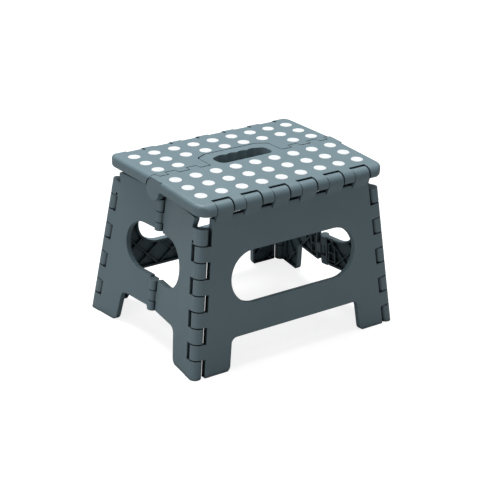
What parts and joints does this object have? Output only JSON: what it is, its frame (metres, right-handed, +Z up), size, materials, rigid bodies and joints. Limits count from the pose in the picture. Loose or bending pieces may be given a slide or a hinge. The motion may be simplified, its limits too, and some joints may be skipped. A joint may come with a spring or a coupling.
{
  "type": "folding step stool",
  "caption": "Low folding plastic step stool with a ribbed two-part top, raised anti-slip dots, a carry handle slot and splayed legs that fold flat on pin hinges.",
  "frame": {"origin": "centre of the four feet's outline on the floor, under the middle of the top", "axes": "+X along the length of the stool and its hinge lines, -Y towards the front leg panel, +Z up"},
  "size_m": [0.316, 0.247, 0.22],
  "materials": {
    "body_grey": "finely textured moulded polypropylene, slate grey",
    "dot_white": "matt white anti-slip inserts",
    "pin_steel": "bright drawn wire"
  },
  "bodies": {
    "front_leg": {"front_leg": "body_grey", "front_edge_pin": "pin_steel", "left_front_corner_pin": "pin_steel", "right_front_corner_pin": "pin_steel"},
    "front_top": {"front_top": "body_grey", "front_dots": "dot_white", "left_centre_pin": "pin_steel", "right_centre_pin": "pin_steel"},
    "rear_top": {"rear_top": "body_grey", "rear_dots": "dot_white"},
    "rear_leg": {"rear_leg": "body_grey", "rear_edge_pin": "pin_steel", "left_rear_corner_pin": "pin_steel", "right_rear_corner_pin": "pin_steel"},
    "left_front_side": {"left_front_side": "body_grey"},
    "left_rear_side": {"left_rear_side": "body_grey", "left_upper_side_pin": "pin_steel", "left_lower_side_pin": "pin_steel"},
    "right_rear_side": {"right_rear_side": "body_grey"},
    "right_front_side": {"right_front_side": "body_grey", "right_upper_side_pin": "pin_steel", "right_lower_side_pin": "pin_steel"}
  },
  "joints": [
    {"name": "front_edge_hinge", "type": "hinge", "parent": "front_leg", "child": "front_top", "pos_m": [0, -0.0975, 0.20745], "axis": [1, 0, 0], "range_deg": [0, 77.37]},
    {"name": "top_centre_hinge", "type": "hinge", "parent": "front_top", "child": "rear_top", "pos_m": [0, 0, 0.20441], "axis": [-1, 0, 0], "range_deg": [0, 167.7]},
    {"name": "rear_edge_hinge", "type": "hinge", "parent": "rear_top", "child": "rear_leg", "pos_m": [0, 0.0975, 0.20745], "axis": [1, 0, 0], "range_deg": [0, 77.37]},
    {"name": "left_front_corner", "type": "hinge", "parent": "front_leg", "child": "left_front_side", "pos_m": [-0.1271, -0.09213, 0.20684], "axis": [-0.1106, -0.1125, -0.9875], "range_deg": [0, 83.48]},
    {"name": "left_rear_corner", "type": "hinge", "parent": "rear_leg", "child": "left_rear_side", "pos_m": [-0.1271, 0.09213, 0.20684], "axis": [0.1106, -0.1125, 0.9875], "range_deg": [0, 83.48]},
    {"name": "right_front_corner", "type": "hinge", "parent": "front_leg", "child": "right_front_side", "pos_m": [0.1271, -0.09213, 0.20684], "axis": [-0.1106, 0.1125, 0.9875], "range_deg": [0, 83.48]},
    {"name": "right_rear_corner", "type": "hinge", "parent": "rear_leg", "child": "right_rear_side", "pos_m": [0.1271, 0.09213, 0.20684], "axis": [0.1106, 0.1125, -0.9875], "range_deg": [0, 83.48]}
  ],
  "couplings": [
    {"joint": "front_edge_hinge", "follows": "top_centre_hinge", "ratio": 0.46126},
    {"joint": "rear_edge_hinge", "follows": "top_centre_hinge", "ratio": 0.46126},
    {"joint": "left_front_corner", "follows": "top_centre_hinge", "ratio": 0.4977},
    {"joint": "left_rear_corner", "follows": "top_centre_hinge", "ratio": 0.4977},
    {"joint": "right_front_corner", "follows": "top_centre_hinge", "ratio": 0.4977},
    {"joint": "right_rear_corner", "follows": "top_centre_hinge", "ratio": 0.4977}
  ]
}
